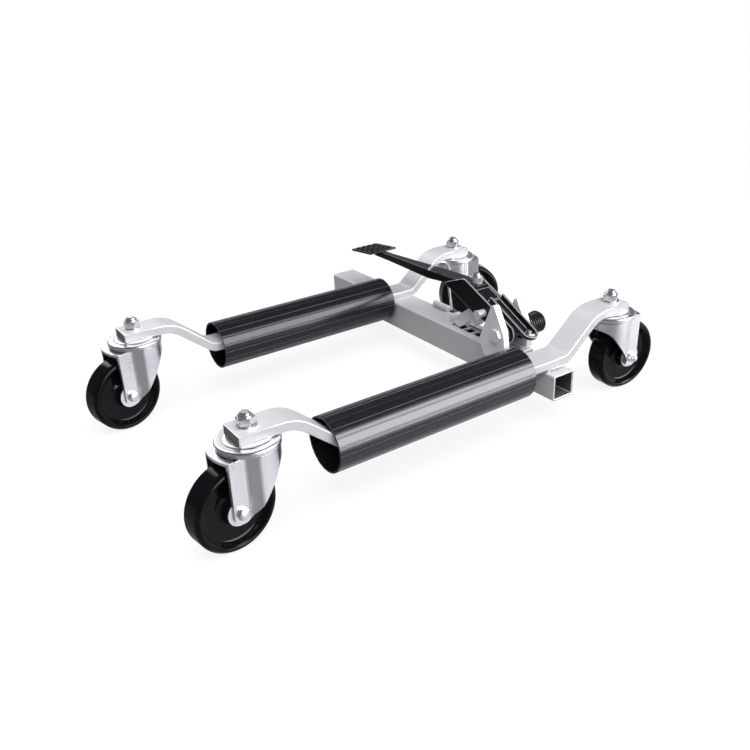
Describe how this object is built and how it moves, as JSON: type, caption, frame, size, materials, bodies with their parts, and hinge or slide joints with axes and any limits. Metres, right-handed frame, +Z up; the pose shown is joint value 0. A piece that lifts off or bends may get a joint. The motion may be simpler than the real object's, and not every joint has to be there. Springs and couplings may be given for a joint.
{
  "type": "vehicle positioning jack",
  "caption": "Wheel dolly that lifts and moves a parked car: roller arms on swivel casters, a telescoping cross tube, and a foot pedal with a ratchet pawl and release lever.",
  "frame": {"origin": "on the floor, under the middle of the whole jack", "axes": "+X along the cross tube towards the sliding near arm, +Y along the roller arms towards the rear casters, +Z up"},
  "size_m": [0.556, 0.7511, 0.1733],
  "materials": {
    "silver_steel": "satin silver-grey coat",
    "zinc": "bright zinc plating",
    "black_steel": "semi-gloss black coat",
    "roller_black": "semi-gloss black",
    "black_nylon": "matte",
    "wheel_black": "glossy moulded"
  },
  "bodies": {
    "frame": {"outer_tube": "silver_steel", "far_arm_bar": "silver_steel", "near_gusset_plate": "silver_steel", "far_gusset_plate": "silver_steel", "pivot_bolt": "zinc", "pivot_nut": "zinc", "pivot_spacers": "zinc", "pawl_stop": "silver_steel", "hook_barrel": "silver_steel", "return_spring": "black_steel", "far_roller_hubs": "black_nylon", "far_swivel_races": "zinc", "far_swivel_balls": "zinc", "far_swivel_studs": "zinc", "far_stud_washers": "zinc", "far_stud_nuts": "zinc"},
    "near_arm": {"inner_tube": "silver_steel", "arm_packer": "silver_steel", "near_arm_bar": "silver_steel", "near_roller_hubs": "black_nylon", "near_swivel_races": "zinc", "near_swivel_balls": "zinc", "near_swivel_studs": "zinc", "near_stud_washers": "zinc", "near_stud_nuts": "zinc"},
    "far_roller": {"far_roller": "roller_black"},
    "near_roller": {"near_roller": "roller_black"},
    "pedal": {"pedal_bracket": "black_steel", "pedal_arm": "black_steel", "pedal_pad": "black_steel", "pedal_bolt": "zinc", "pedal_nut": "zinc", "drive_pawl_pin": "zinc"},
    "drive_pawl": {"drive_pawl": "zinc"},
    "release_lever": {"release_lever": "black_steel"},
    "hook": {"hold_down_hook": "zinc"},
    "near_front_swivel": {"near_front_fork": "zinc", "near_front_bushes": "zinc", "near_front_axle": "zinc", "near_front_axle_nut": "zinc"},
    "near_front_wheel": {"near_front_wheel": "wheel_black"},
    "far_front_swivel": {"far_front_fork": "zinc", "far_front_bushes": "zinc", "far_front_axle": "zinc", "far_front_axle_nut": "zinc"},
    "far_front_wheel": {"far_front_wheel": "wheel_black"},
    "near_rear_swivel": {"near_rear_fork": "zinc", "near_rear_bushes": "zinc", "near_rear_axle": "zinc", "near_rear_axle_nut": "zinc"},
    "near_rear_wheel": {"near_rear_wheel": "wheel_black"},
    "far_rear_swivel": {"far_rear_fork": "zinc", "far_rear_bushes": "zinc", "far_rear_axle": "zinc", "far_rear_axle_nut": "zinc"},
    "far_rear_wheel": {"far_rear_wheel": "wheel_black"}
  },
  "joints": [
    {"name": "arm_slide", "type": "slide", "parent": "frame", "child": "near_arm", "axis": [1, 0, 0], "range_m": [-0.02, 0.28]},
    {"name": "far_roller_spin", "type": "hinge", "parent": "frame", "child": "far_roller", "pos_m": [-0.111, -0.01741, 0.0812], "axis": [0, 1, 0], "continuous": true},
    {"name": "near_roller_spin", "type": "hinge", "parent": "near_arm", "child": "near_roller", "pos_m": [0.241, -0.04191, 0.0812], "axis": [0, 1, 0], "continuous": true},
    {"name": "pedal_press", "type": "hinge", "parent": "frame", "child": "pedal", "pos_m": [0.175, 0.16629, 0.108], "axis": [0, 1, 0], "range_deg": [-8, 0], "stiffness_Nm_per_rad": 12, "springref_deg": 17.19},
    {"name": "drive_pawl_swing", "type": "hinge", "parent": "pedal", "child": "drive_pawl", "pos_m": [0.129, 0.16629, 0.1245], "axis": [0, 1, 0], "range_deg": [0, 14.5]},
    {"name": "release_lever_press", "type": "hinge", "parent": "frame", "child": "release_lever", "pos_m": [0.175, 0.16629, 0.108], "axis": [0, 1, 0], "range_deg": [0, 12], "stiffness_Nm_per_rad": 3, "springref_deg": -17.19, "deforming": ["return_spring"]},
    {"name": "hook_swing", "type": "hinge", "parent": "frame", "child": "hook", "pos_m": [-0.012, 0.18579, 0.0852], "axis": [1, 0, 0], "range_deg": [-95, 0]},
    {"name": "near_front_swivel", "type": "hinge", "parent": "near_arm", "child": "near_front_swivel", "pos_m": [0.241, -0.29101, 0.1185], "axis": [0, 0, 1], "continuous": true},
    {"name": "near_front_wheel_spin", "type": "hinge", "parent": "near_front_swivel", "child": "near_front_wheel", "pos_m": [0.24558, -0.32167, 0.053], "axis": [0.989, 0.1478, 0], "continuous": true},
    {"name": "far_front_swivel", "type": "hinge", "parent": "frame", "child": "far_front_swivel", "pos_m": [-0.111, -0.29101, 0.1185], "axis": [0, 0, 1], "continuous": true},
    {"name": "far_front_wheel_spin", "type": "hinge", "parent": "far_front_swivel", "child": "far_front_wheel", "pos_m": [-0.10387, -0.32118, 0.053], "axis": [0.9732, 0.23, 0], "continuous": true},
    {"name": "near_rear_swivel", "type": "hinge", "parent": "near_arm", "child": "near_rear_swivel", "pos_m": [0.241, 0.29109, 0.1185], "axis": [0, 0, 1], "continuous": true},
    {"name": "near_rear_wheel_spin", "type": "hinge", "parent": "near_rear_swivel", "child": "near_rear_wheel", "pos_m": [0.24338, 0.32199, 0.053], "axis": [-0.9971, 0.0767, 0], "continuous": true},
    {"name": "far_rear_swivel", "type": "hinge", "parent": "frame", "child": "far_rear_swivel", "pos_m": [-0.111, 0.29109, 0.1185], "axis": [0, 0, 1], "continuous": true},
    {"name": "far_rear_wheel_spin", "type": "hinge", "parent": "far_rear_swivel", "child": "far_rear_wheel", "pos_m": [-0.09889, 0.31962, 0.053], "axis": [-0.9205, 0.3907, 0], "continuous": true}
  ],
  "couplings": [
    {"joint": "drive_pawl_swing", "follows": "pedal_press", "ratio": -1.69}
  ]
}
